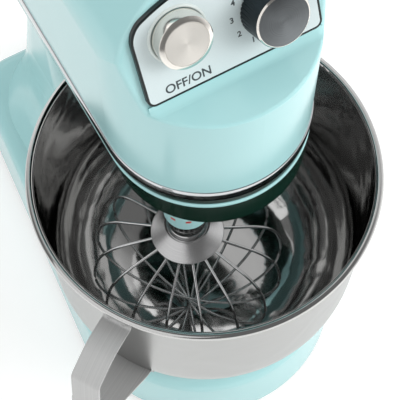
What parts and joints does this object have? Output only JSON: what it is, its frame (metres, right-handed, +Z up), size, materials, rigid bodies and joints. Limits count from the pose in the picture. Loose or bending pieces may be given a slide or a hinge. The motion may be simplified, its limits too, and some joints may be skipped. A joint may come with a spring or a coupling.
{
  "type": "stand mixer",
  "caption": "Tilt-head stand mixer with a steel bowl and strap handle, balloon whisk, planetary drive, push switch, speed dial and head lock.",
  "frame": {"origin": "on the table under the bowl's axis", "axes": "+Z up, -Y out of the mixer's nose, +X to the right seen from the front"},
  "size_m": [0.2408, 0.35, 0.43],
  "materials": {
    "aqua_paint": "gloss aqua enamel",
    "green_paint": "gloss bottle-green enamel",
    "chrome_trim": "polished chrome",
    "bowl_steel": "polished stainless steel",
    "spun_steel": "spun stainless steel",
    "wire_steel": "bright drawn wire",
    "panel_silver": "satin silver white",
    "panel_edge": "gloss dark edge",
    "button_metal": "circular brushed metal",
    "knob_black": "ribbed satin dark",
    "rubber": "matt",
    "dark_plastic": "satin",
    "magnet_dark": "matt",
    "board_green": "solder mask",
    "copper": "bare copper",
    "bronze": "sintered bronze",
    "cast_aluminium": "as cast",
    "machine_steel": "machined"
  },
  "bodies": {
    "stand": {"base_shell": "aqua_paint", "bottom_plate": "dark_plastic", "bottom_screws": "machine_steel", "bowl_socket": "spun_steel", "cord_gland": "dark_plastic", "head_stops": "rubber", "hinge_bushes": "bronze", "hinge_pin": "machine_steel", "rubber_feet": "rubber", "socket_screws": "machine_steel"},
    "lock": {"lock_hook": "machine_steel", "lock_lever": "dark_plastic", "lock_shaft": "machine_steel"},
    "head": {"brush_holder": "dark_plastic", "brushes": "magnet_dark", "button_bezel": "button_metal", "chassis_plate": "cast_aluminium", "chassis_screws": "machine_steel", "control_board": "board_green", "drive_belt": "rubber", "gearbox_housing": "cast_aluminium", "head_cover": "aqua_paint", "head_lower_shell": "green_paint", "hinge_arm": "cast_aluminium", "main_bearings": "machine_steel", "motor_bearings": "machine_steel", "motor_can": "machine_steel", "motor_cap": "cast_aluminium", "motor_magnets": "magnet_dark", "motor_pillars": "machine_steel", "panel_frame": "panel_edge", "panel_plate": "panel_silver", "ring_gear": "machine_steel", "speed_potentiometer": "machine_steel", "switch_module": "dark_plastic", "trim_band": "chrome_trim"},
    "button": {"button_cap": "button_metal", "button_face": "button_metal", "button_plunger": "dark_plastic"},
    "knob": {"knob_face": "button_metal", "knob_spindle": "machine_steel", "speed_knob": "knob_black"},
    "rotor": {"armature": "copper", "commutator": "copper", "cooling_fan": "dark_plastic", "motor_pulley": "cast_aluminium", "motor_shaft": "machine_steel"},
    "carrier": {"belt_pulley": "cast_aluminium", "carrier_hub": "aqua_paint", "main_shaft": "machine_steel", "output_bushes": "bronze"},
    "output": {"drive_pin": "machine_steel", "output_shaft": "machine_steel", "planet_gear": "machine_steel"},
    "whisk": {"whisk_collar": "spun_steel", "whisk_neck": "spun_steel", "whisk_wires": "wire_steel"},
    "bowl": {"bowl": "bowl_steel", "bowl_foot_ring": "bowl_steel", "bowl_handle": "bowl_steel"}
  },
  "joints": [
    {"name": "head_tilt", "type": "hinge", "parent": "stand", "child": "head", "pos_m": [0, 0.15, 0.19], "axis": [-1, 0, 0], "range_deg": [0, 35]},
    {"name": "lock_lever_turn", "type": "hinge", "parent": "stand", "child": "lock", "pos_m": [0, 0.1265, 0.232], "axis": [-1, 0, 0], "range_deg": [0, 20]},
    {"name": "power_button_press", "type": "slide", "parent": "head", "child": "button", "axis": [0, 0.9171, -0.3987], "range_m": [0, 0.002], "stiffness_N_per_m": 800},
    {"name": "speed_dial_turn", "type": "hinge", "parent": "head", "child": "knob", "pos_m": [0.0208, -0.01993, 0.3988], "axis": [0, 0.9171, -0.3987], "range_deg": [0, 270]},
    {"name": "carrier_spin", "type": "hinge", "parent": "head", "child": "carrier", "pos_m": [0, 0, 0.262], "axis": [0, 0, 1], "continuous": true},
    {"name": "rotor_spin", "type": "hinge", "parent": "head", "child": "rotor", "pos_m": [0, 0.096, 0.35], "axis": [0, 0, 1], "continuous": true},
    {"name": "output_spin", "type": "hinge", "parent": "carrier", "child": "output", "pos_m": [-0.0259, -0.02501, 0.25], "axis": [0, 0, 1], "continuous": true},
    {"name": "whisk_twist", "type": "hinge", "parent": "output", "child": "whisk", "pos_m": [-0.0259, -0.02501, 0.22], "axis": [0, 0, 1], "range_deg": [0, 30]},
    {"name": "bowl_twist", "type": "hinge", "parent": "stand", "child": "bowl", "pos_m": [0, 0, 0.05], "axis": [0, 0, 1], "range_deg": [0, 30]}
  ],
  "couplings": [
    {"joint": "rotor_spin", "follows": "carrier_spin", "ratio": 4},
    {"joint": "output_spin", "follows": "carrier_spin", "ratio": -5}
  ]
}
